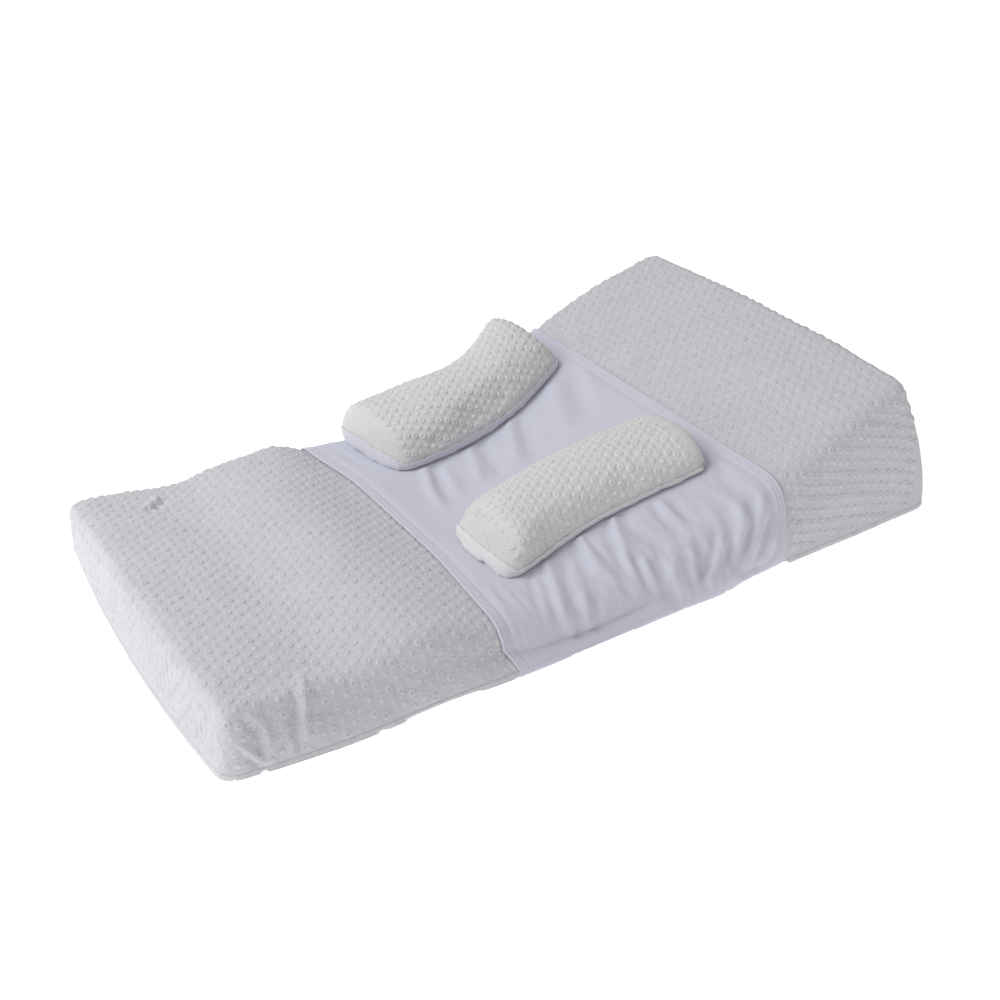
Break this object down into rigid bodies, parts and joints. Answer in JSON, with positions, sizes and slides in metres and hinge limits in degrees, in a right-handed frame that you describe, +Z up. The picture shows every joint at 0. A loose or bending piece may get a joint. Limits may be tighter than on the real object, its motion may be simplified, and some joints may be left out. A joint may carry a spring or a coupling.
{
  "type": "baby sleep positioner",
  "caption": "Shaped foam sleep pad for a baby: low rounded foot end, rising head wedge, bubble-knit cover, stretch jersey band round the middle and padded side bolsters on the band.",
  "frame": {"origin": "middle of the pad's box, on the surface it lies on", "axes": "+X from the low foot end to the raised head end, +Y across the pad from front to back, +Z up"},
  "size_m": [0.754, 0.4403, 0.1485],
  "materials": {
    "cover_knit": "matt quilted bubble knit",
    "band_jersey": "smooth matt jersey",
    "bolster_knit": "matt quilted bubble knit",
    "base_cloth": "smooth matt cloth"
  },
  "bodies": {
    "root": {"cushion": "cover_knit", "belly_band": "band_jersey", "bolster_front": "bolster_knit", "bolster_back": "bolster_knit", "bolster_front_base": "base_cloth", "bolster_back_base": "base_cloth"}
  },
  "joints": []
}
